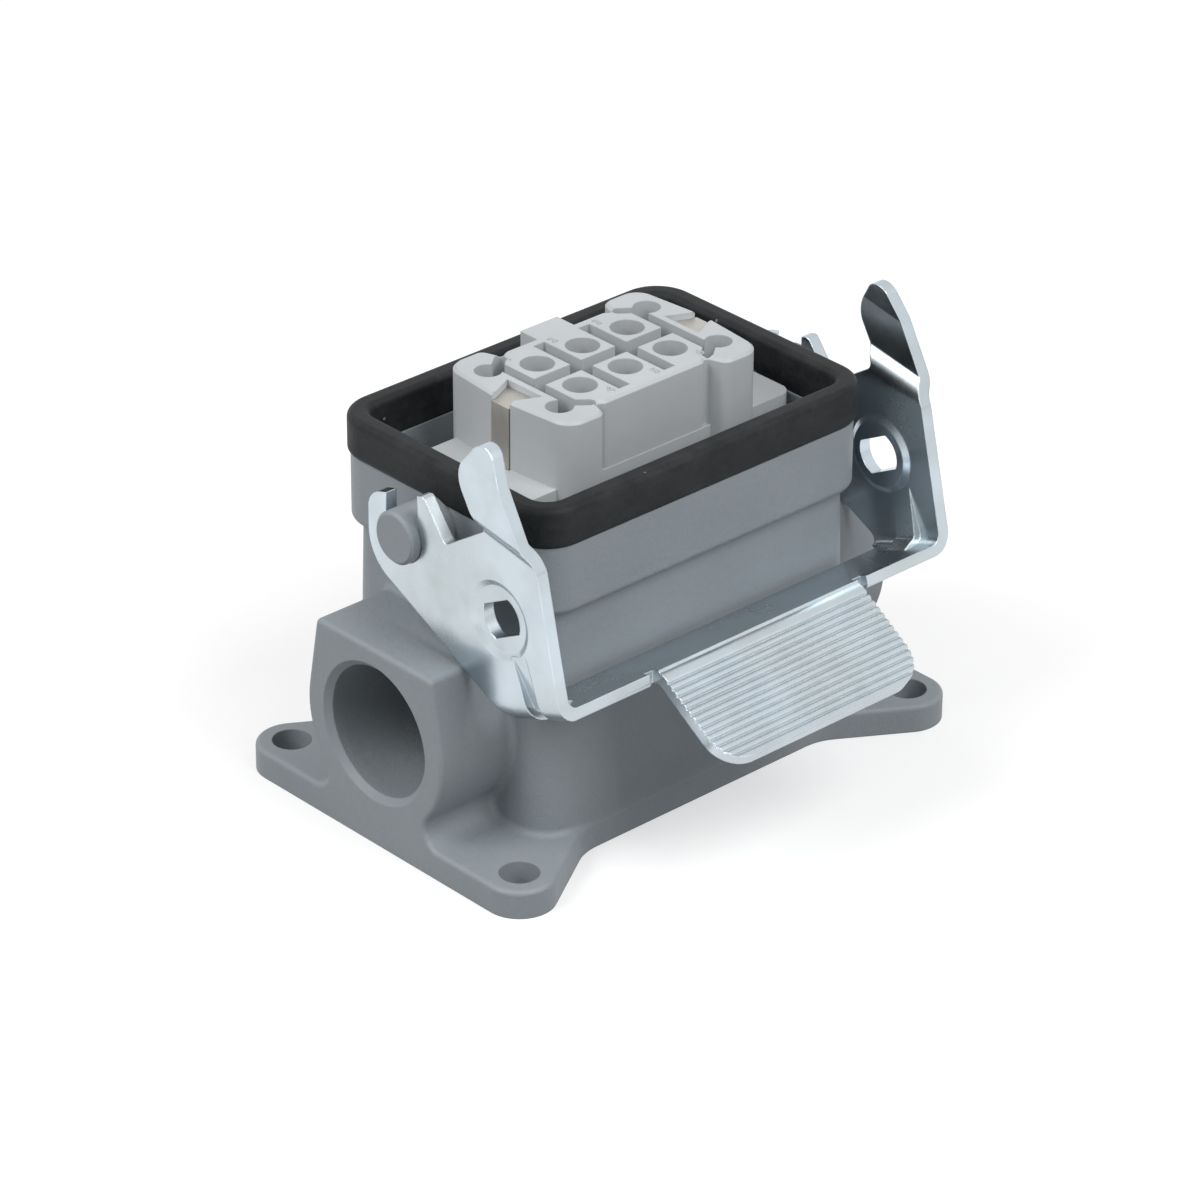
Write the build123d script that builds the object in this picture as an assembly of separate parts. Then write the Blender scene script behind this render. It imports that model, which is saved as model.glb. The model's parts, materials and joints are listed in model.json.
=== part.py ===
from build123d import *
import math
import os

# Heavy duty rectangular connector: a surface mounting housing with a single locking lever
# and a socket insert for six contacts and earth. All lengths are in millimetres.
# X runs along the housing, from the cable entry towards the blank end. Y runs across it,
# and the lever's handle is on the -Y side. Z points up. The origin lies on the underside
# of the foot, in the middle of the four fixing holes.

# Foot
hole_pitch_x = 72.0
hole_pitch_y = 46.4
hole_diameter = 5.5
ear_radius = 5.0
ear_slope = 32.0
waist_blend = 8.0
foot_thickness = 4.1
foot_edge_round = 0.7

# Body and collar
body_length = 58.0
body_width = 40.5
body_corner = 5.0
body_draft = 1.45
shoulder_height = 37.5
shoulder_round = 1.1
rim_length = 59.2
rim_width = 41.8
rim_corner = 5.6
rim_wall = 3.1
rim_height = 47.7
body_blend = 1.2
root_blend = 1.0

# Inside of the housing
floor_thickness = 4.1
chamber_wall = 3.8
chamber_corner = 2.0
insert_seat_height = 40.0
post_size = 6.8
post_round = 1.6

# End bosses
boss_axis_height = 17.0
boss_radius = 13.6
boss_top_height = 29.8
boss_flank_slope = 10.0
boss_top_round = 1.0
boss_foot_blend = 2.6
entry_diameter = 18.8
entry_chamfer = 0.9

# Pegs that carry the lever
peg_diameter = 7.5
peg_height = 44.8
peg_end = 37.1
peg_chamfer = 0.4

# Lip of the rim and the gasket that grips it
lip_thickness = 1.2
lip_height = 3.5
gasket_length = 60.0
gasket_width = 42.5
gasket_corner = 5.9
gasket_wall = 3.2
gasket_height = 5.8
gasket_top_round = 1.0
gasket_foot_round = 0.7
gasket_clearance = 0.05

# Locking lever, one folded sheet
lever_sheet = 1.8
lever_span = 71.2
lever_bend = 1.5
lever_clearance = 0.08
fork_width = 6.2
fork_boss_radius = 6.7
fork_boss_drop = 1.35
fork_round = 3.1
fork_top = 4.0
arm_back_slope = 26.6
arm_front_slope = 77.0
web_slope = 21.2
web_gap = 1.4
web_depth = 9.9
web_underside = -19.6
web_corner_round = 0.8
finger_tip = (-4.3, 7.3)
notch_finger_side = (-8.5, 1.9)
notch_hook_side = (-16.5, 7.2)
hook_bulge = (-12.1, 14.6)
hook_top = (-16.9, 21.5)
hook_bulge_round = 4.0
hook_top_round = 2.2
notch_round = 0.8
joggle_slope = 10.1
joggle_step = 1.4
joggle_rise = 1.7
joggle_bend = 0.5
hook_curl = 1.2
hook_curl_start = 8.6
hook_curl_end = 13.5
lock_hole = (-18.9, -4.9)
lock_hole_diameter = 7.0
lock_hole_flats = 4.8
lock_hole_turn = 28.0
dimple_radius = 5.6
dimple_depth = 0.5
dimple_slope_run = 0.9
dart_place = -5.6
dart_width = 2.6
dart_wall = 0.5
dart_height = 9.5
dart_run = 5.0
dart_corner = (1.3, 2.2)
dart_round = 1.0
handle_width = 36.4
handle_length = 16.0
handle_slope = 33.0
handle_fold_back = 0.3
handle_corner = 5.0
handle_relief = 1.6
groove_count = 13
groove_pitch = 1.05
groove_width = 0.7
groove_depth = 0.35
groove_start = 2.2

# Insert
block_rise = 19.0
block_width = 19.8
lobe_width = 24.4
lobe_start = 11.0
lobe_round = 3.0
lobe_inner_round = 1.6
block_length = 37.0
end_lean = 1.2
end_crown = 25.0
groove_run = 1.1
groove_sink = 1.0
groove_round = 0.6
block_edge_chamfer = 0.4
flange_length = 51.0
flange_width = 34.0
flange_corner = 2.0
flange_thickness = 3.0
platform_width = 20.0
platform_rise = 9.0
tail_width = 24.0
tail_depth = 16.0
tail_corner = 1.5
key_width = 6.6
key_reach = 12.9
contact_pitch = 8.1
contact_row = 8.4
contact_mouth = 4.7
mouth_depth = 9.0
slot_depth = 4.0
long_slot_width = 2.2
cross_slot_width = 2.0
cross_slot_length = 16.8
end_slot_x = 12.3
end_slot_width = 1.7
end_slot_length = 16.4
pocket_x = 14.3
pocket_y = 7.0
pocket_radius = 1.9
channel_x = 10.6
channel_y = 8.7

# Earth plates
earth_sheet = 1.0
earth_recess = 1.0
earth_inner_x = 14.2
earth_inner_width = 6.6
earth_throat_width = 3.4
earth_foot_width = 8.0
earth_foot_drop = 1.5
earth_foot_height = 10.0
earth_clearance = 0.1
earth_screw_drop = 6.5
earth_screw_diameter = 3.8
earth_screw_length = 5.0
earth_head_diameter = 6.0
earth_head_height = 2.0
clamp_size = 7.0
clamp_thickness = 1.0

# Contacts with their screws and wire guards
sleeve_diameter = 4.2
sleeve_bore = 2.5
sleeve_recess = 3.0
sleeve_bore_depth = 15.0
sleeve_slit = 0.5
sleeve_slit_depth = 9.0
terminal_size = 6.0
terminal_drop = 5.0
terminal_height = 9.0
wire_bore = 3.2
wire_bore_depth = 8.0
terminal_screw_diameter = 2.9
terminal_head_diameter = 4.0
terminal_head_height = 1.8
terminal_head_gap = 0.5
terminal_screw_rise = 4.5
guard_thickness = 0.4
guard_width = 1.8
guard_height = 7.5
guard_hook = 1.6
fit_clearance = 0.05

# Fixing screws of the insert
screw_pitch_x = 44.0
screw_pitch_y = 27.0
screw_diameter = 3.8
screw_length = 13.0
screw_head_diameter = 6.0
screw_head_height = 2.4
screw_slot = 1.0
screw_head_chamfer = 0.4
washer_diameter = 6.0
washer_thickness = 0.8
washer_split = 0.8

# Sizes that follow from those above
foot_end = hole_pitch_x / 2 + ear_radius
flange_top = insert_seat_height + flange_thickness
block_top = insert_seat_height + block_rise
platform_height = insert_seat_height + platform_rise
tail_bottom = insert_seat_height - tail_depth
tail_length = block_length - 2 * (earth_sheet + earth_clearance)
terminal_top = insert_seat_height - terminal_drop
earth_foot_top = insert_seat_height - earth_foot_drop
earth_foot_bottom = earth_foot_top - earth_foot_height
earth_screw_height = insert_seat_height - earth_screw_drop
sheet_outer_bend = lever_bend + lever_sheet
web_angle = math.radians(web_slope)
web_height = peg_height + web_underside
web_back = -(body_width / 2 - web_height * math.tan(math.radians(body_draft)) + web_gap)
web_front = web_back - web_depth
handle_fold = web_front + handle_fold_back


def prism(sketch, bottom, top, taper=0.0):
    return Pos(0, 0, bottom) * extrude(sketch, top - bottom, taper=taper)


def across(sketch, start, end):
    # Extrudes a (y, z) sketch along X from one plane to another.
    return Pos(start, 0, 0) * extrude(Plane.YZ * sketch, end - start)


def block(x_range, y_range, z_range):
    low = Vector(x_range[0], y_range[0], z_range[0])
    size = Vector(x_range[1], y_range[1], z_range[1]) - low
    align = (Align.MIN, Align.MIN, Align.MIN)
    return Pos(low) * Box(size.X, size.Y, size.Z, align=align)


def corners(pitch_x, pitch_y):
    return [(sx * pitch_x / 2, sy * pitch_y / 2) for sx in (-1, 1) for sy in (-1, 1)]


def foot():
    slope = math.radians(ear_slope)
    hole_x, hole_y = hole_pitch_x / 2, hole_pitch_y / 2
    side = body_width / 2
    tip_y = hole_y + ear_radius * (1 + math.sin(slope)) / math.cos(slope)
    waist_x = hole_x + ((side - hole_y) * math.cos(slope) - ear_radius) / math.sin(slope)
    quarter = [(foot_end, tip_y), (waist_x, side)]
    half = quarter + [(-x, y) for x, y in reversed(quarter)]
    outline = half + [(-x, -y) for x, y in half]
    radii = [ear_radius, waist_blend, waist_blend, ear_radius] * 2
    plan = make_face(FilletPolyline(*outline, radius=radii, close=True))
    plate = prism(plan, 0, foot_thickness)
    plate = fillet(plate.faces().sort_by(Axis.Z)[-1].outer_wire().edges(), foot_edge_round)
    for x, y in corners(hole_pitch_x, hole_pitch_y):
        plate -= Pos(x, y, foot_thickness / 2) * Cylinder(hole_diameter / 2, 2 * foot_thickness)
    return plate


def boss(side):
    # A round boss with leaning flanks and a flat top, standing on the foot.
    lean = math.radians(boss_flank_slope)
    flank_y = boss_radius * math.cos(lean)
    flank_z = boss_axis_height + boss_radius * math.sin(lean)
    top_y = flank_y - (boss_top_height - flank_z) * math.tan(lean)
    head = Polygon((-flank_y, flank_z), (flank_y, flank_z), (top_y, boss_top_height),
                   (-top_y, boss_top_height), align=None)
    strip_width = body_width - 2 * body_corner
    strip = Pos(0, foot_thickness / 2) * Rectangle(strip_width, foot_thickness)
    profile = Pos(0, boss_axis_height) * Circle(boss_radius) + head + strip
    limit = Rectangle(4 * boss_radius, boss_top_height, align=(Align.CENTER, Align.MIN))
    profile &= limit
    tops = profile.vertices().filter_by(lambda v: v.Y > boss_top_height - 0.01)
    profile = fillet(tops, boss_top_round)
    roots = profile.vertices().filter_by(lambda v: abs(v.Y - foot_thickness) < 0.01
                                         and abs(v.X) < strip_width / 2 - 0.01)
    profile = fillet(roots, boss_foot_blend)
    solid = across(profile, side * body_length / 4, side * foot_end)
    face = solid.faces().sort_by(Axis.X)[-1 if side > 0 else 0]
    rims = face.edges().filter_by(lambda e: e.center().Z > foot_thickness - 0.01)
    return fillet(rims, foot_edge_round)


def housing():
    shell = foot()
    for side in (-1, 1):
        shell += boss(side)
    body_plan = RectangleRounded(body_length, body_width, body_corner)
    shell += prism(body_plan, 0, shoulder_height + body_blend, taper=body_draft)
    shell = fillet(root_edges(shell), root_blend)
    collar = prism(RectangleRounded(rim_length, rim_width, rim_corner), shoulder_height, rim_height)
    collar = fillet(collar.faces().sort_by(Axis.Z)[0].edges(), shoulder_round)
    shell += collar
    for side in (-1, 1):
        peg = across(Pos(0, peg_height) * Circle(peg_diameter / 2), 0, side * peg_end)
        shell += chamfer(peg.faces().sort_by(Axis.X)[-1 if side > 0 else 0].edges(), peg_chamfer)
    lip_length = rim_length - rim_wall + lip_thickness
    lip_width = rim_width - rim_wall + lip_thickness
    lip_corner = rim_corner - (rim_wall - lip_thickness) / 2
    shell += prism(RectangleRounded(lip_length, lip_width, lip_corner), rim_height - 1,
                   rim_height + lip_height)
    shell -= housing_hollow()
    bore = Pos(0, boss_axis_height) * Circle(entry_diameter / 2)
    shell -= across(bore, -foot_end - 1, -body_length / 4)
    cone = Pos(-foot_end, 0, boss_axis_height) * Rot(0, 90, 0) * Cone(
        entry_diameter / 2 + entry_chamfer, entry_diameter / 2, entry_chamfer,
        align=(Align.CENTER, Align.CENTER, Align.MIN))
    return shell - cone


def root_edges(shell):
    # The inner corners where the body meets the foot. The blend runs on round the bosses from them.
    flat = shell.edges().filter_by(lambda e: e.bounding_box().size.Z < 0.01
                                   and abs(e.center().Z - foot_thickness) < 0.01)
    return flat.filter_by(lambda e: abs(e.center().X) < body_length / 2
                          and body_width / 4 < abs(e.center().Y) < body_width / 2)


def housing_hollow():
    # The wiring chamber with its four corner posts, and the wider pocket for the flange.
    length = body_length - 2 * chamber_wall
    width = body_width - 2 * chamber_wall
    plan = RectangleRounded(length, width, chamber_corner)
    for x, y in corners(length, width):
        plan -= Pos(x, y) * RectangleRounded(2 * post_size, 2 * post_size, post_round)
    hollow = prism(plan, floor_thickness, insert_seat_height)
    pocket_length = rim_length - 2 * rim_wall
    pocket_width = rim_width - 2 * rim_wall
    pocket = RectangleRounded(pocket_length, pocket_width, rim_corner - rim_wall)
    hollow += prism(pocket, insert_seat_height, rim_height)
    inner_length = rim_length - rim_wall - lip_thickness
    inner_width = rim_width - rim_wall - lip_thickness
    inner_corner = rim_corner - (rim_wall + lip_thickness) / 2
    hollow += prism(RectangleRounded(inner_length, inner_width, inner_corner), rim_height,
                    rim_height + lip_height + 1)
    for x, y in corners(screw_pitch_x, screw_pitch_y):
        drill = Cylinder(screw_diameter / 2 + fit_clearance, screw_length,
                         align=(Align.CENTER, Align.CENTER, Align.MAX))
        hollow += Pos(x, y, insert_seat_height) * drill
    return hollow


def rim_gasket():
    outer = RectangleRounded(gasket_length, gasket_width, gasket_corner)
    inner = RectangleRounded(gasket_length - 2 * gasket_wall, gasket_width - 2 * gasket_wall,
                             gasket_corner - gasket_wall)
    top = rim_height + gasket_height
    ring = prism(outer - inner, rim_height, top)
    ring = fillet(ring.faces().sort_by(Axis.Z)[-1].edges(), gasket_top_round)
    ring = fillet(ring.faces().sort_by(Axis.Z)[0].outer_wire().edges(), gasket_foot_round)
    gap = gasket_clearance
    lip_outer = rim_wall / 2 - lip_thickness / 2 - gap
    lip_inner = rim_wall / 2 + lip_thickness / 2 + gap
    groove = RectangleRounded(rim_length - 2 * lip_outer, rim_width - 2 * lip_outer,
                              rim_corner - lip_outer)
    groove -= RectangleRounded(rim_length - 2 * lip_inner, rim_width - 2 * lip_inner,
                               rim_corner - lip_inner)
    ring -= prism(groove, rim_height - 1, rim_height + lip_height + gap)
    peg_relief = Circle(peg_diameter / 2 + 2 * gap)
    return ring - across(Pos(0, peg_height) * peg_relief, -gasket_length, gasket_length)


def sheet(points, radii, thickness, side):
    # Sheet metal seen on edge: a rounded path, thickened to one side.
    path = FilletPolyline(*points, radius=radii)
    return make_face(offset(path, thickness, side=side, closed=True))


def lever_outline():
    # The arm from the side, about the peg's centre, with the fork and the hook.
    lean = math.radians(arm_back_slope)
    back_drop = fork_boss_drop + fork_boss_radius / math.cos(lean)
    heel_z = -back_drop + fork_boss_radius * math.tan(lean)
    rise = math.tan(web_angle)
    toe_y = (web_underside + rise * web_back + back_drop) / (math.tan(lean) + rise)
    toe_z = -back_drop + toe_y * math.tan(lean)
    front_y = web_front
    front_z = web_underside + rise * (web_back - web_front)
    shin_z = notch_hook_side[1] - math.tan(math.radians(joggle_slope)) * (notch_hook_side[0] - front_y)
    shin_y = front_y + (shin_z - front_z) / math.tan(math.radians(arm_front_slope))
    outline = [
        ((fork_boss_radius, fork_top), fork_round),
        ((fork_boss_radius, heel_z), fork_boss_radius),
        ((toe_y, toe_z), 2 * web_corner_round),
        ((front_y, front_z), web_corner_round),
        ((shin_y, shin_z), hook_top_round),
        (hook_top, hook_top_round),
        (hook_bulge, hook_bulge_round),
        (notch_hook_side, notch_round),
        (notch_finger_side, notch_round),
        (finger_tip, notch_round),
    ]
    radii = [radius for point, radius in outline]
    arm = make_face(FilletPolyline(*[point for point, radius in outline], radius=radii, close=True))
    seat = Circle(peg_diameter / 2 + lever_clearance)
    throat = Pos(0, fork_boss_radius) * Rectangle(fork_width, 2 * fork_boss_radius)
    flats = Rectangle(lock_hole_diameter, lock_hole_flats)
    keyhole = Pos(*lock_hole) * Rot(0, 0, -lock_hole_turn) * (Circle(lock_hole_diameter / 2) & flats)
    return Pos(0, peg_height) * (arm - seat - throat - keyhole)


def lever_channel():
    # The web and the two arms, folded up from it.
    half = lever_span / 2
    fold = Plane(origin=(0, web_back, web_height), x_dir=(1, 0, 0),
                 z_dir=(0, -math.cos(web_angle), math.sin(web_angle)))
    reach = 2 * peg_height
    section = sheet([(-half, reach), (-half, 0), (half, 0), (half, reach)],
                    sheet_outer_bend, lever_sheet, Side.LEFT)
    return extrude(fold * section, reach, both=True)


def hook_sheets(cut_depth):
    # The upper ends of the arms, stepped outwards and curled in at the top.
    lean = math.radians(joggle_slope)
    crease = Plane(origin=(0, notch_hook_side[0], peg_height + notch_hook_side[1]), x_dir=(1, 0, 0),
                   z_dir=(0, -math.cos(lean), -math.sin(lean)))
    half = lever_span / 2
    reach = 2 * peg_height
    path = [(half, -cut_depth), (half, 0), (half + joggle_step, joggle_rise),
            (half + joggle_step, hook_curl_start), (half + joggle_step - hook_curl, hook_curl_end)]
    section = sheet(path, joggle_bend + lever_sheet, lever_sheet, Side.LEFT)
    section += mirror(section, Plane.YZ)
    slab = Pos(0, reach / 2 - cut_depth) * Rectangle(4 * half, reach)
    return extrude(crease * section, reach, both=True), extrude(crease * slab, reach, both=True)


def handle():
    # The grip: a tab folded down from the front of the web, with rounded corners and grooves.
    rise = math.tan(web_angle)
    web_top = web_height + lever_sheet / math.cos(web_angle)
    fold_z = web_top + rise * (web_back - handle_fold)
    root_y = handle_fold + 2 * sheet_outer_bend
    root = (root_y, web_top + rise * (web_back - root_y))
    down = math.radians(handle_slope)
    end = (handle_fold - handle_length * math.cos(down), fold_z - handle_length * math.sin(down))
    section = sheet([root, (handle_fold, fold_z), end], sheet_outer_bend, lever_sheet, Side.LEFT)
    for index in range(groove_count):
        along = groove_start + index * groove_pitch
        at = (handle_fold - along * math.cos(down), fold_z - along * math.sin(down))
        notch = Polygon((-groove_width / 2, 0), (0, -groove_depth), (groove_width / 2, 0),
                        (0, groove_depth), align=None)
        section -= Pos(*at) * Rot(0, 0, handle_slope) * notch
    grip = across(section, -handle_width / 2, handle_width / 2)
    face = Plane(origin=(0, handle_fold, fold_z), x_dir=(1, 0, 0),
                 z_dir=(0, -math.sin(down), math.cos(down)))
    plan = Pos(0, handle_length / 2) * Rectangle(handle_width, 3 * handle_length)
    plan = fillet(plan.vertices().sort_by(Axis.Y)[:2], handle_corner)
    return grip & extrude(face * plan, handle_length, both=True)


def dimple(side):
    # The shallow dish pressed inwards round the lock hole: (what it adds inside, what it cuts outside).
    turn = Pos(side * lever_span / 2, lock_hole[0], peg_height + lock_hole[1]) * Rot(0, -90 * side, 0)
    up = (Align.CENTER, Align.CENTER, Align.MIN)
    inner = dimple_radius - dimple_slope_run
    dish = turn * Cone(dimple_radius, inner, dimple_depth, align=up)
    bulge = turn * Pos(0, 0, lever_sheet) * Cone(dimple_radius, inner, dimple_depth, align=up)
    return bulge, dish


def dart():
    # A short rib pressed inwards across each bend: (what it adds inside, what it cuts outside).
    half = lever_span / 2
    near, far = dart_corner
    path = [(half, dart_height), (half - near, far), (half - far, near), (half - dart_run, 0)]
    fold = Plane(origin=(0, web_back, web_height), x_dir=(1, 0, 0),
                 z_dir=(0, -math.cos(web_angle), math.sin(web_angle)))
    groove = Polygon(*path, (half - dart_run, -1), (half + 1, -1), (half + 1, dart_height), align=None)
    rib = sheet(path[::-1], dart_round, lever_sheet, Side.LEFT)
    middle = fold * Pos(0, 0, -dart_place)
    ribs = extrude(middle * (rib + mirror(rib, Plane.YZ)), dart_width / 2 + dart_wall, both=True)
    grooves = extrude(middle * (groove + mirror(groove, Plane.YZ)), dart_width / 2, both=True)
    return ribs, grooves


def locking_lever():
    outline = extrude(Plane.YZ * lever_outline(), lever_span, both=True)
    cut_depth = joggle_rise
    hooks, upper = hook_sheets(cut_depth)
    lever = (lever_channel() & outline) - upper
    lever += hooks & outline & upper
    gap = lever_span / 2 - sheet_outer_bend
    lever -= block((-gap, gap), (web_back, 0), (0, peg_height))
    for side in (-1, 1):
        bulge, dish = dimple(side)
        lever = lever - dish + (bulge & outline)
    ribs, grooves = dart()
    lever = lever - grooves + ribs
    lever += handle()
    notch_x = handle_width / 2 + handle_relief / 2
    for side in (-1, 1):
        lever -= block((side * notch_x - handle_relief / 2, side * notch_x + handle_relief / 2),
                       (web_front - 2 * handle_relief, web_front + handle_relief),
                       (web_height, peg_height))
    return lever


def block_plan():
    # The mating block from above: crowned ends, a lobe at each corner and a groove beside it.
    quarter = [
        ((block_length / 2, 0), end_crown),
        ((block_length / 2 - end_lean, lobe_width / 2), lobe_round),
        ((lobe_start, lobe_width / 2), lobe_inner_round),
        ((lobe_start - groove_run, block_width / 2 - groove_sink), groove_round),
        ((lobe_start - 2 * groove_run, block_width / 2), groove_round),
    ]
    half = quarter + [((-x, y), radius) for (x, y), radius in reversed(quarter[1:])]
    outline = half + [((-x, -y), radius) for (x, y), radius in half]
    radii = [radius for point, radius in outline]
    return make_face(FilletPolyline(*[point for point, radius in outline], radius=radii, close=True))


def face_slots():
    # Everything that is sunk into the mating face, apart from the contact holes.
    plan = Rectangle(2 * end_slot_x, long_slot_width)
    for side in (-1, 1):
        plan += Pos(side * contact_pitch / 2, 0) * Rectangle(cross_slot_width, cross_slot_length)
        plan += Pos(side * end_slot_x, 0) * Rectangle(end_slot_width, end_slot_length)
        for end in (-1, 1):
            plan += Pos(side * pocket_x, end * pocket_y) * Circle(pocket_radius)
            plan += Pos(side * (end_slot_x + pocket_x) / 2, end * pocket_y) * Rectangle(
                pocket_x - end_slot_x, pocket_radius)
            start = (side * end_slot_x, end * (end_slot_length - end_slot_width) / 2)
            run = Line(start, (side * channel_x, end * channel_y))
            plan += SlotCenterToCenter(run.length, end_slot_width).moved(
                Location(run @ 0.5, (0, 0, math.degrees(math.atan2((run % 0.5).Y, (run % 0.5).X)))))
    return plan


def contact_places():
    return [(column * contact_pitch, row * contact_row / 2) for row in (1, -1) for column in (-1, 0, 1)]


def insert_body():
    body = prism(block_plan(), insert_seat_height, block_top)
    body = chamfer(body.faces().sort_by(Axis.Z)[-1].edges(), block_edge_chamfer)
    body += block((-key_width / 2, key_width / 2), (0, key_reach), (insert_seat_height, block_top))
    flange = prism(RectangleRounded(flange_length, flange_width, flange_corner), insert_seat_height,
                   flange_top)
    body += flange + prism(RectangleRounded(flange_length, platform_width, flange_corner),
                           insert_seat_height, platform_height)
    body += prism(RectangleRounded(tail_length, tail_width, tail_corner), tail_bottom,
                  insert_seat_height + 1)
    body -= prism(face_slots(), block_top - slot_depth, block_top + 1)
    for x, y in corners(screw_pitch_x, screw_pitch_y):
        body -= Pos(x, y, flange_top) * Cylinder(screw_diameter / 2 + 2 * fit_clearance,
                                                 3 * flange_thickness)
    for x, y in contact_places():
        body -= contact_cavity(x, y)
    for side in (-1, 1):
        body -= earth_cavity(side)
    return body


def contact_cavity(x, y):
    up = (Align.CENTER, Align.CENTER, Align.MIN)
    down = (Align.CENTER, Align.CENTER, Align.MAX)
    cavity = Pos(x, y, block_top + 1) * Cylinder(contact_mouth / 2, mouth_depth + 1, align=down)
    cavity += Pos(x, y, terminal_top) * Cylinder(sleeve_diameter / 2 + fit_clearance,
                                                 block_top - terminal_top, align=up)
    size = terminal_size + 2 * fit_clearance
    cavity += Pos(x, y, tail_bottom - 1) * Box(size, size, terminal_top - tail_bottom + 1, align=up)
    outward = 1 if y > 0 else -1
    screw_z = terminal_top - terminal_height + terminal_screw_rise
    hole = Pos(x, y, screw_z) * Rot(-90 * outward, 0, 0) * Cylinder(
        terminal_head_diameter / 2 + 2 * fit_clearance, tail_width, align=up)
    return cavity + hole


def earth_tab(side, gap):
    # The flat top of the earth plate, seen from above, with room round it when a gap is given.
    inner = earth_inner_width / 2 + gap
    throat = earth_throat_width / 2 + gap
    end = block_length / 2
    tab = Polygon((earth_inner_x - gap, -inner), (end - earth_sheet, -throat), (end, -throat),
                  (end, throat), (end - earth_sheet, throat), (earth_inner_x - gap, inner),
                  align=None)
    return Rot(0, 0, 90 - 90 * side) * tab


def earth_cavity(side):
    gap = earth_clearance
    cavity = prism(earth_tab(side, gap), block_top - earth_recess - earth_sheet, block_top + 1)
    end = block_length / 2
    throat = earth_throat_width / 2 + gap
    x_range = sorted((side * (end - earth_sheet - fit_clearance), side * (end + fit_clearance)))
    cavity += block(x_range, (-throat, throat), (tail_bottom - 1, block_top + 1))
    drill = Circle(earth_screw_diameter / 2 + 2 * fit_clearance)
    return cavity + across(Pos(0, earth_screw_height) * drill,
                           side * (end - earth_sheet - earth_screw_length), side * end)


def earth_plate(side):
    # One strip: a tab in the mating face, a tongue down the end and a wide foot for the screw.
    top = block_top - earth_recess
    end = block_length / 2
    plate = prism(earth_tab(side, 0), top - earth_sheet, top)
    x_range = sorted((side * (end - earth_sheet), side * end))
    throat = earth_throat_width / 2
    foot_half = earth_foot_width / 2
    plate += block(x_range, (-throat, throat), (earth_foot_bottom, top))
    plate += block(x_range, (-foot_half, foot_half), (earth_foot_bottom, earth_foot_top))
    drill = Circle(earth_screw_diameter / 2 + fit_clearance)
    return plate - across(Pos(0, earth_screw_height) * drill, side * (end - 2 * earth_sheet),
                          side * (end + earth_sheet))


def earth_screw(side):
    face = block_length / 2 + fit_clearance + clamp_thickness + fit_clearance
    axis = Pos(0, earth_screw_height)
    screw = across(axis * Circle(earth_head_diameter / 2), side * face,
                   side * (face + earth_head_height))
    tip = block_length / 2 - earth_sheet - earth_screw_length + 2 * fit_clearance
    screw += across(axis * Circle(earth_screw_diameter / 2), side * tip, side * face)
    return screw - across(axis * Rectangle(screw_slot, earth_head_diameter),
                          side * (face + earth_head_height / 2), side * (face + earth_head_height))


def wire_clamp(side):
    face = block_length / 2 + fit_clearance
    plan = RectangleRounded(clamp_size, clamp_size, clamp_thickness)
    plan -= Circle(earth_screw_diameter / 2 + fit_clearance)
    return across(Pos(0, earth_screw_height) * plan, side * face, side * (face + clamp_thickness))


def socket_contact(x, y):
    up = (Align.CENTER, Align.CENTER, Align.MIN)
    down = (Align.CENTER, Align.CENTER, Align.MAX)
    top = block_top - sleeve_recess
    base = terminal_top - terminal_height
    contact = Pos(x, y, base) * Box(terminal_size, terminal_size, terminal_height, align=up)
    contact += Pos(x, y, terminal_top) * Cylinder(sleeve_diameter / 2, top - terminal_top, align=up)
    contact -= Pos(x, y, top) * Cylinder(sleeve_bore / 2, sleeve_bore_depth, align=down)
    contact -= Pos(x, y, top) * Box(sleeve_slit, sleeve_diameter, sleeve_slit_depth, align=down)
    contact -= Pos(x, y, base) * Cylinder(wire_bore / 2, wire_bore_depth, align=up)
    outward = 1 if y > 0 else -1
    thread = Cylinder(terminal_screw_diameter / 2 + fit_clearance, terminal_size, align=up)
    return contact - Pos(x, y, base + terminal_screw_rise) * Rot(-90 * outward, 0, 0) * thread


def terminal_screw(x, y):
    up = (Align.CENTER, Align.CENTER, Align.MIN)
    guard_face = guard_distance() + guard_thickness + fit_clearance
    under_head = terminal_size / 2 + terminal_head_gap
    screw = Pos(0, 0, guard_face) * Cylinder(terminal_screw_diameter / 2, under_head - guard_face,
                                             align=up)
    screw += Pos(0, 0, under_head) * Cylinder(terminal_head_diameter / 2, terminal_head_height,
                                              align=up)
    screw -= Pos(0, 0, under_head + terminal_head_height) * Box(
        screw_slot, terminal_head_diameter, terminal_head_height)
    outward = 1 if y > 0 else -1
    return Pos(x, y, terminal_top - terminal_height + terminal_screw_rise) * Rot(
        -90 * outward, 0, 0) * screw


def guard_distance():
    # How far the guard's inner face stands from the wire bore's axis.
    room = math.sqrt((wire_bore / 2) ** 2 - (guard_width / 2 + fit_clearance) ** 2)
    return room - guard_thickness


def wire_guard(x, y):
    # A thin leaf under the screw's tip, hooked round the lower edge of the terminal.
    base = terminal_top - terminal_height
    near = guard_distance()
    half = guard_width / 2
    leaf = block((-half, half), (near, near + guard_thickness),
                 (base - fit_clearance - guard_thickness, base - fit_clearance + guard_height))
    leaf += block((-half, half), (near, near + guard_hook + guard_thickness),
                  (base - fit_clearance - guard_thickness, base - fit_clearance))
    turn = Rot(0, 0, 0 if y > 0 else 180)
    return Pos(x, y, 0) * turn * leaf


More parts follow.
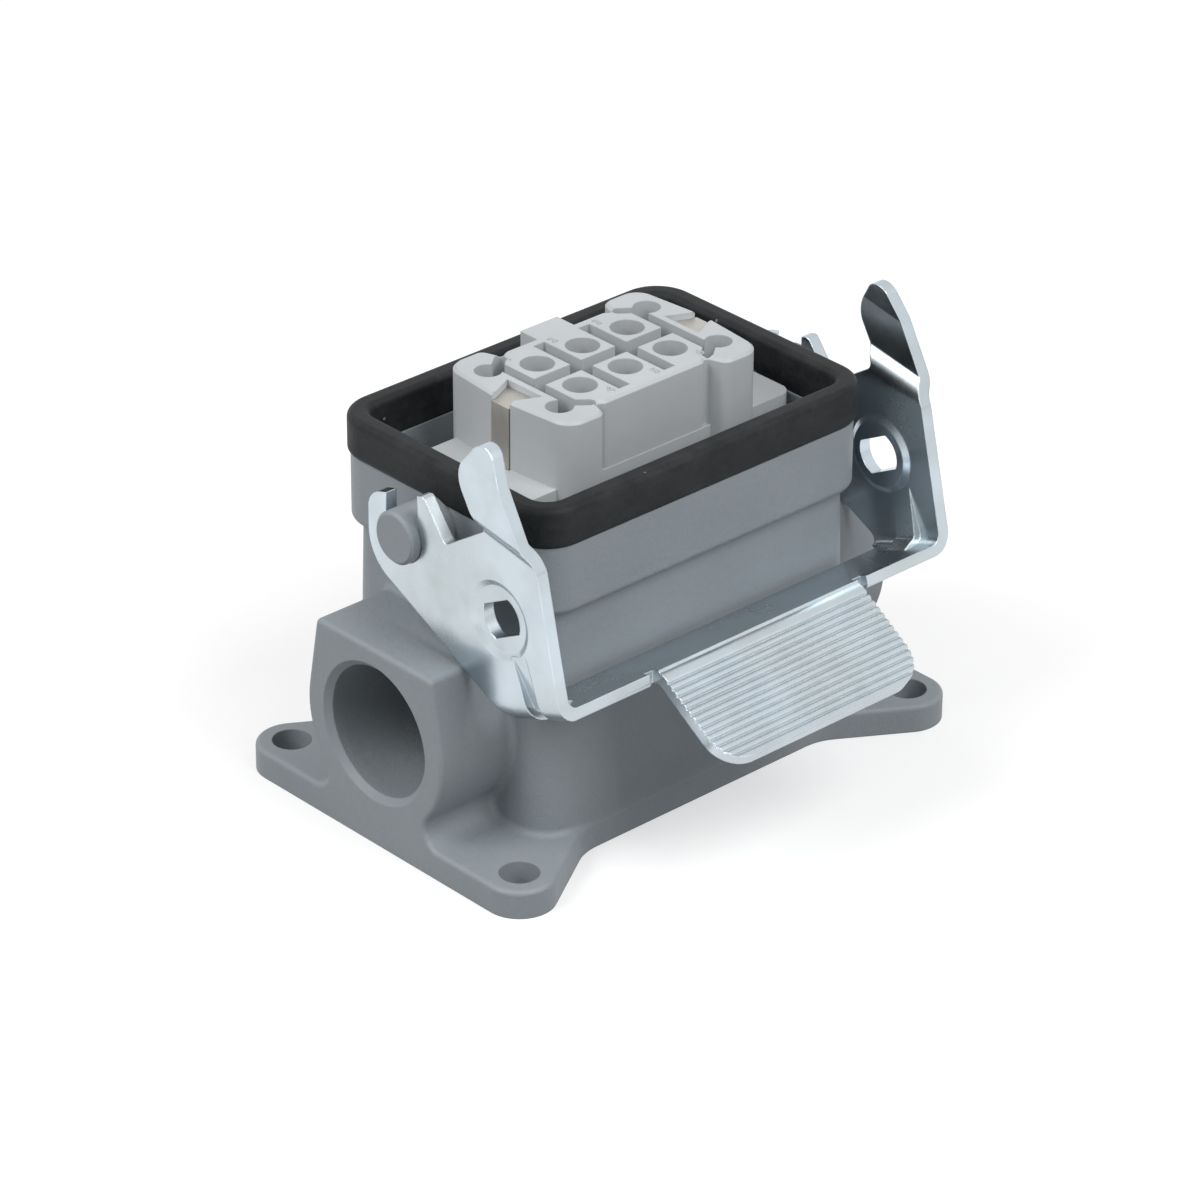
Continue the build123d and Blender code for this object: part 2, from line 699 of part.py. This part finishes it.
def insert_screw(x, y):
    seat = flange_top + washer_thickness
    up = (Align.CENTER, Align.CENTER, Align.MIN)
    screw = Pos(x, y, seat) * Cylinder(screw_head_diameter / 2, screw_head_height, align=up)
    screw = chamfer(screw.faces().sort_by(Axis.Z)[-1].edges(), screw_head_chamfer)
    screw += Pos(x, y, seat - screw_length) * Cylinder(screw_diameter / 2, screw_length, align=up)
    return screw - Pos(x, y, seat + screw_head_height) * Box(screw_slot, screw_head_diameter,
                                                             screw_head_height)


def lock_washer(x, y):
    ring = Circle(washer_diameter / 2) - Circle(screw_diameter / 2 + fit_clearance)
    ring -= Pos(washer_diameter / 2, 0) * Rectangle(washer_diameter, washer_split)
    return Pos(x, y, 0) * prism(ring, flange_top, flange_top + washer_thickness)


def build_nodes():
    places = contact_places()
    screws = corners(screw_pitch_x, screw_pitch_y)
    nodes = {
        "housing": housing(),
        "rim_gasket": rim_gasket(),
        "locking_lever": locking_lever(),
        "insert_body": insert_body(),
        "earth_plate_left": earth_plate(-1),
        "earth_plate_right": earth_plate(1),
        "earth_screws": Compound([earth_screw(-1), earth_screw(1)]),
        "earth_wire_clamps": Compound([wire_clamp(-1), wire_clamp(1)]),
        "terminal_screws": Compound([terminal_screw(x, y) for x, y in places]),
        "insert_screws": Compound([insert_screw(x, y) for x, y in screws]),
        "lock_washers": Compound([lock_washer(x, y) for x, y in screws]),
    }
    for number, (x, y) in enumerate(places, start=1):
        nodes[f"socket_contact_{number}"] = socket_contact(x, y)
        nodes[f"wire_guard_{number}"] = wire_guard(x, y)
    return nodes


os.makedirs("parts", exist_ok=True)
for name, shape in build_nodes().items():
    export_step(shape, f"parts/{name}.step")
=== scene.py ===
import json
import math
import bpy
from mathutils import Matrix, Vector


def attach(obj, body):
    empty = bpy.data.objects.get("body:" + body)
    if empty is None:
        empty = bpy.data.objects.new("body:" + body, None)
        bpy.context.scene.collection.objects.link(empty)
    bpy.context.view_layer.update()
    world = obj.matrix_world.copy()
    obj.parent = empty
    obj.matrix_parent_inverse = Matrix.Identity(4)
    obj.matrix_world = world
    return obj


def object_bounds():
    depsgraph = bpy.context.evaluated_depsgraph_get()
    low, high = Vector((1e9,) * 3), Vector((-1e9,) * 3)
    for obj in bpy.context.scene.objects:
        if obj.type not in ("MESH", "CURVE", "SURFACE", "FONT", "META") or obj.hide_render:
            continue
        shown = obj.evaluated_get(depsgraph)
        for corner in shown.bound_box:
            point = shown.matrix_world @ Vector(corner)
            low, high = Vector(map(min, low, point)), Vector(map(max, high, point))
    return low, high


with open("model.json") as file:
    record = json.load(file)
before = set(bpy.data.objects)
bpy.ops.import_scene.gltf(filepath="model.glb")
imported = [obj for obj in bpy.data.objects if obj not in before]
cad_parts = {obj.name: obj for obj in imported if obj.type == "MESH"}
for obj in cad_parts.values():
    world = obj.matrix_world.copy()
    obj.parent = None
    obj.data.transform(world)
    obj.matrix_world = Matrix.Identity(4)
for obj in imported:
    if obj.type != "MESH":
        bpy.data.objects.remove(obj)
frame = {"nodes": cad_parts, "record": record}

cadLow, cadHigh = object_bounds()
nodes = frame["nodes"]
mm = 0.001
print("frame loaded:", len(nodes), "nodes")


# Shader maths: a socket in a wrapper, so that masks read as plain expressions
class Wire:
    def __init__(self, tree, socket):
        self.tree = tree
        self.socket = socket

    def node(self, kind, settings=None, stops=None, out=0, **values):
        made = self.tree.nodes.new(kind)
        for name, value in (settings or {}).items():
            setattr(made, name, value)
        if stops:
            ramp = made.color_ramp
            while len(ramp.elements) < len(stops):
                ramp.elements.new(0.5)
            for element, (place, tone) in zip(ramp.elements, stops):
                element.position = place
                element.color = (tone, tone, tone, 1) if isinstance(tone, (int, float)) else (*tone, 1)
        for name, value in values.items():
            self.put(made, name, value)
        return Wire(self.tree, made.outputs[out])

    def put(self, made, name, value):
        key = int(name[1:]) if name[0] == "i" and name[1:].isdigit() else name.replace("_", " ")
        target = made.inputs[key]
        if isinstance(value, Wire):
            self.tree.links.new(value.socket, target)
        else:
            target.default_value = value

    def maths(self, operation, a, b=0.0):
        return self.node("ShaderNodeMath", {"operation": operation}, i0=a, i1=b)

    def __add__(self, other): return self.maths("ADD", self, other)
    def __radd__(self, other): return self.maths("ADD", other, self)
    def __sub__(self, other): return self.maths("SUBTRACT", self, other)
    def __rsub__(self, other): return self.maths("SUBTRACT", other, self)
    def __mul__(self, other): return self.maths("MULTIPLY", self, other)
    def __rmul__(self, other): return self.maths("MULTIPLY", other, self)
    def __gt__(self, other): return self.maths("GREATER_THAN", self, other)
    def __lt__(self, other): return self.maths("LESS_THAN", self, other)

    def ramp(self, *stops):
        return self.node("ShaderNodeValToRGB", stops=stops, Fac=self)

    def mix(self, low, high):
        return self.node("ShaderNodeMix", {"data_type": "RGBA"}, out=2, i0=self, i6=low, i7=high)


def finish(name, roughness, metallic=0.0, **fixed):
    material = bpy.data.materials.new(name)
    material.use_nodes = True
    shader = material.node_tree.nodes["Principled BSDF"]
    shader.inputs["Roughness"].default_value = roughness
    shader.inputs["Metallic"].default_value = metallic
    for key, value in fixed.items():
        shader.inputs[key.replace("_", " ")].default_value = value
    start = Wire(material.node_tree, None)
    place = start.node("ShaderNodeTexCoord", out=3)
    return material, shader, place


def noise(place, scale, detail=3.0, roughness=0.5):
    return place.node("ShaderNodeTexNoise", {"noise_dimensions": "3D"}, Vector=place, Scale=scale,
                      Detail=detail, Roughness=roughness)


def link(wire, shader, name):
    wire.tree.links.new(wire.socket, shader.inputs[name])


def bump(height, strength, distance, normal=None):
    linked = {"Normal": normal} if normal else {}
    return height.node("ShaderNodeBump", Height=height, Strength=strength, Distance=distance, **linked)


def rgb(red, green, blue):
    return (red, green, blue, 1.0)


def roundedEdges(place, radius):
    # The normal of edges broken by a small radius, and a mask that is one on them
    rounded = place.node("ShaderNodeBevel", {"samples": 4}, Radius=radius)
    flat = place.node("ShaderNodeNewGeometry", out=1)
    along = place.node("ShaderNodeVectorMath", {"operation": "DOT_PRODUCT"}, out=1, i0=rounded, i1=flat)
    return rounded, (1 - along).ramp((0.02, 0.0), (0.2, 1.0))


def stretched(place, x, y, z):
    return place.node("ShaderNodeVectorMath", {"operation": "MULTIPLY"}, i0=place, i1=(x, y, z))


def specks(place, scale, share):
    # Sparse round dots: near the centres of some cells
    cells = place.node("ShaderNodeTexVoronoi", {"feature": "F1"}, Vector=place, Scale=scale)
    colour = place.node("ShaderNodeTexVoronoi", {"feature": "F1"}, out=1, Vector=place, Scale=scale)
    lucky = place.node("ShaderNodeSeparateColor", out=0, Color=colour)
    dotRadius = 0.13
    return (cells < dotRadius) * (lucky < share)


# The edge colour is a painted highlight, laid on the broken edges
coat = {"light": rgb(0.268, 0.298, 0.320), "dark": rgb(0.236, 0.264, 0.286),
        "edge": rgb(0.36, 0.39, 0.41), "scuff": rgb(0.15, 0.165, 0.175),
        "grain": 2600.0, "peel": 900.0, "break": 0.25 * mm}


def powderCoat():
    material, shader, place = finish("powderCoat", 0.5, Specular_IOR_Level=0.4)
    rounded, onEdge = roundedEdges(place, coat["break"])
    grain = noise(place, coat["grain"], 2.0)
    peel = noise(place, coat["peel"], 2.0)
    broad = noise(place, 60.0, 5.0, 0.6).ramp((0.35, 0.0), (0.65, 1.0))
    patchy = broad * 0.6 + grain.ramp((0.3, 0.0), (0.7, 1.0)) * 0.4
    tone = patchy.mix(coat["dark"], coat["light"])
    # Broken edges lightened in noisy patches: a painted highlight
    edged = (onEdge * noise(place, 500.0, 3.0).ramp((0.4, 0.0), (0.6, 0.6))).mix(tone, coat["edge"])
    rub = noise(stretched(place, 25.0, 25.0, 140.0), 1.0, 6.0, 0.7).ramp((0.66, 0.0), (0.72, 0.5))
    link(rub.mix(edged, coat["scuff"]), shader, "Base Color")
    link(0.44 + 0.14 * grain + 0.12 * rub, shader, "Roughness")
    link(bump(grain * 0.7 + peel, 0.6, 0.10 * mm, rounded), shader, "Normal")
    return material


# The dust colour is real dust, and also paints a sheen on the broken edges
rubber = {"base": rgb(0.0085, 0.0098, 0.0108), "dust": rgb(0.054, 0.059, 0.061),
          "speck": rgb(0.28, 0.26, 0.20), "cells": 520.0, "share": 0.05, "break": 0.3 * mm}


def blackRubber():
    material, shader, place = finish("blackRubber", 0.6, Specular_IOR_Level=0.2)
    rounded, onEdge = roundedEdges(place, rubber["break"])
    dust = noise(place, 150.0, 9.0, 0.72).ramp((0.44, 0.0), (0.72, 1.0))
    smear = noise(stretched(place, 60.0, 60.0, 420.0), 1.0, 5.0, 0.6).ramp((0.5, 0.0), (0.75, 0.6))
    # Real dust and smears, with the broken edges lightened as well: a painted sheen
    dustAndEdgeSheen = (dust * 0.5 + smear * 0.25 + onEdge * 0.15).mix(rubber["base"], rubber["dust"])
    dots = specks(place, rubber["cells"], rubber["share"]) * 0.6
    link(dots.mix(dustAndEdgeSheen, rubber["speck"]), shader, "Base Color")
    link(0.5 + 0.22 * dust, shader, "Roughness")
    link(bump(noise(place, 1500.0, 4.0), 0.6, 0.06 * mm, rounded), shader, "Normal")
    return material


# The edge colour is a painted highlight, laid on the broken sheet edges
zinc = {"blue": rgb(0.565, 0.638, 0.70), "grey": rgb(0.49, 0.54, 0.555),
        "rub": rgb(0.37, 0.415, 0.435), "edge": rgb(0.80, 0.84, 0.87), "break": 0.25 * mm}


def zincPlate():
    material, shader, place = finish("zincPlate", 0.2, 1.0)
    rounded, onEdge = roundedEdges(place, zinc["break"])
    cloud = noise(place, 62.0, 3.0).ramp((0.36, 0.0), (0.68, 1.0))
    wipe = noise(stretched(place, 40.0, 220.0, 220.0), 1.0, 2.0, 0.4).ramp((0.45, 0.0), (0.85, 0.45))
    film = wipe.mix(cloud.mix(zinc["blue"], zinc["grey"]), zinc["rub"])
    # Broken sheet edges lightened in noisy patches: a painted highlight
    edgeHighlighted = (onEdge * noise(place, 350.0, 3.0).ramp((0.4, 0.0), (0.58, 0.7))).mix(film, zinc["edge"])
    link(edgeHighlighted, shader, "Base Color")
    fine = noise(place, 900.0, 2.0)
    link(0.16 + 0.10 * cloud + 0.10 * wipe + 0.06 * fine, shader, "Roughness")
    wave = noise(place, 95.0, 1.0)
    link(bump(wave + fine * 0.012, 0.6, 0.45 * mm, rounded), shader, "Normal")
    return material


# The edge colour is a painted highlight, laid on the broken edges
plastic = {"light": rgb(0.475, 0.50, 0.515), "dark": rgb(0.435, 0.46, 0.475),
           "edge": rgb(0.53, 0.555, 0.565), "break": 0.2 * mm}


def greyPlastic():
    material, shader, place = finish("greyPlastic", 0.4, Specular_IOR_Level=0.4)
    rounded, onEdge = roundedEdges(place, plastic["break"])
    flow = noise(place, 80.0, 4.0).ramp((0.35, 0.0), (0.65, 1.0)).mix(plastic["dark"], plastic["light"])
    # Broken edges lightened: a painted highlight
    link((onEdge * 0.5).mix(flow, plastic["edge"]), shader, "Base Color")
    fine = noise(place, 2200.0, 2.0)
    link(0.38 + 0.14 * fine, shader, "Roughness")
    link(bump(fine, 0.2, 0.03 * mm, rounded), shader, "Normal")
    return material


metals = {
    "nickelPlate": {"low": rgb(0.46, 0.44, 0.41), "high": rgb(0.57, 0.55, 0.515), "roughness": 0.42},
    # The contact brass is darker than brass, standing in for the shade deep in the insert's holes:
    # painted shade
    "contactBrassPaintedShade": {"low": rgb(0.40, 0.35, 0.25), "high": rgb(0.50, 0.44, 0.32), "roughness": 0.35},
    "screwSteel": {"low": rgb(0.55, 0.55, 0.54), "high": rgb(0.68, 0.68, 0.66), "roughness": 0.28},
}


def plainMetal(name, low, high, roughness):
    material, shader, place = finish(name, roughness, 1.0)
    cloud = noise(place, 300.0, 4.0)
    link(cloud.mix(low, high), shader, "Base Color")
    link(roughness + 0.15 * cloud, shader, "Roughness")
    link(bump(noise(place, 1600.0, 2.0), 0.2, 0.02 * mm), shader, "Normal")
    return material


finishes = {
    "grey_coating": powderCoat(),
    "black_rubber": blackRubber(),
    "zinc_plating": zincPlate(),
    "grey_plastic": greyPlastic(),
    "nickel_plate": plainMetal("nickelPlate", **metals["nickelPlate"]),
    "contact_brass": plainMetal("contactBrassPaintedShade", **metals["contactBrassPaintedShade"]),
    "screw_steel": plainMetal("screwSteel", **metals["screwSteel"]),
}
sharpAngle = 28  # degrees: steeper folds keep a hard edge
print("finishes made:", len(finishes))


def dressNodes():
    slots = {row["node"]: row["material_slot"] for row in frame["record"]["subparts"]}
    for name, piece in nodes.items():
        piece.data.materials.clear()
        piece.data.materials.append(finishes[slots[name]])
        piece.data.shade_smooth()
        piece.data.set_sharp_from_angle(angle=math.radians(sharpAngle))


dressNodes()
print("nodes dressed")

numbers = {"pitch": 8.1, "row": 4.2, "face": 59.0, "proud": 0.15, "height": 2.0, "aside": (2.0, 3.7)}


def raisedNumber(count, column, row):
    # Moulded upright on the insert's face, outwards of its hole and a little aside
    curve = bpy.data.curves.new("numberOutline", "FONT")
    curve.body = str(count)
    curve.size = numbers["height"] * mm
    curve.extrude = numbers["proud"] * mm
    curve.align_x = curve.align_y = "CENTER"
    outline = bpy.data.objects.new("numberOutline", curve)
    bpy.context.scene.collection.objects.link(outline)
    bpy.context.view_layer.update()
    mesh = bpy.data.meshes.new_from_object(outline)
    bpy.data.objects.remove(outline)
    across, along = numbers["aside"]
    x = column * numbers["pitch"] - row * across
    y = row * (numbers["row"] + along)
    mesh.transform(Matrix.Translation(Vector((x, y, numbers["face"])) * mm))
    mesh.materials.append(finishes["grey_plastic"])
    digit = bpy.data.objects.new("hole_number_" + str(count), mesh)
    bpy.context.scene.collection.objects.link(digit)
    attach(digit, "base")


for index in range(6):
    raisedNumber(index + 1, index % 3 - 1, 1 if index < 3 else -1)
print("numbers raised")

studio = {
    "floorTone": rgb(0.22, 0.22, 0.22),  # what the floor gives back to the object
    "floorSeen": rgb(0.56, 0.56, 0.56),
    "floorGlow": 0.48,  # lifts the seen floor to white and leaves its shadow
    "air": 0.46,
    "reach": 3.0,
    "drop": 0.02 * mm,
    "aim": (0, 0, 0.03),
    "leftLamp": {"place": (-0.62, 0.16, 0.66), "size": 0.55, "power": 4.5},
    "frontLamp": {"place": (0.10, -0.62, 0.72), "size": 0.55, "power": 5.2},
}


def softLamp(name, place, size, power):
    lamp = bpy.data.lights.new(name, "AREA")
    lamp.shape = "SQUARE"
    lamp.size = size
    lamp.energy = power
    holder = bpy.data.objects.new(name, lamp)
    holder.location = place
    aim = Vector(studio["aim"]) - Vector(place)
    holder.rotation_euler = aim.to_track_quat("-Z", "Y").to_euler()
    bpy.context.scene.collection.objects.link(holder)


def seenDirectly(start):
    # One for what the camera sees, in a mirror or through glass too, and nought for light that bounces
    camera, glossy, clear = (start.node("ShaderNodeLightPath", out=index) for index in (0, 3, 6))
    return start.maths("MAXIMUM", start.maths("MAXIMUM", camera, glossy), clear)


def makeStudio():
    floorMesh = bpy.data.meshes.new("floor")
    reach = studio["reach"]
    corners = [(-reach, -reach, 0), (reach, -reach, 0), (reach, reach, 0), (-reach, reach, 0)]
    floorMesh.from_pydata(corners, [], [(0, 1, 2, 3)])
    floor = bpy.data.objects.new("floor", floorMesh)
    floor.location.z = cadLow.z - studio["drop"]
    bpy.context.scene.collection.objects.link(floor)
    material, shader, place = finish("paleFloor", 0.8, Specular_IOR_Level=0.0)
    seen = seenDirectly(place)
    link(seen.mix(studio["floorTone"], studio["floorSeen"]), shader, "Base Color")
    link(seen.mix(rgb(0, 0, 0), rgb(1, 1, 1)), shader, "Emission Color")
    shader.inputs["Emission Strength"].default_value = studio["floorGlow"]
    floorMesh.materials.append(material)
    world = bpy.data.worlds.new("studio")
    world.use_nodes = True
    bpy.context.scene.world = world
    air = world.node_tree.nodes["Background"]
    air.inputs["Color"].default_value = rgb(1, 1, 1)
    seen = seenDirectly(Wire(world.node_tree, None))
    world.node_tree.links.new((studio["air"] + seen * (1 - studio["air"])).socket, air.inputs["Strength"])
    for name in ("leftLamp", "frontLamp"):
        softLamp(name, **studio[name])


makeStudio()

# The camera was fitted to the photograph: angles in degrees, places in millimetres
view = {"azimuth": -42.70, "elevation": 28.97, "roll": 0.28, "focal": 5654.4, "frame": 1200,
        "distance": 778.5, "right": -0.36, "up": 19.21, "sensor": 36.0}


def makeCamera():
    turn, rise, roll = (math.radians(view[key]) for key in ("azimuth", "elevation", "roll"))
    back = Vector((math.sin(turn) * math.cos(rise), -math.cos(turn) * math.cos(rise), math.sin(rise)))
    right = Vector((math.cos(turn), math.sin(turn), 0))
    up = back.cross(right)
    place = (right * view["right"] + up * view["up"] + back * view["distance"]) * mm
    leanRight = right * math.cos(roll) + up * math.sin(roll)
    leanUp = up * math.cos(roll) - right * math.sin(roll)
    lens = bpy.data.cameras.new("camera")
    lens.sensor_width = view["sensor"]
    lens.lens = view["sensor"] * view["focal"] / view["frame"]
    lens.clip_start = 0.01
    holder = bpy.data.objects.new("camera", lens)
    matrix = Matrix((leanRight, leanUp, back)).transposed().to_4x4()
    matrix.translation = place
    holder.matrix_world = matrix
    bpy.context.scene.collection.objects.link(holder)
    bpy.context.scene.camera = holder


makeCamera()
bpy.context.scene.view_settings.view_transform = "Standard"
print("camera and studio ready")
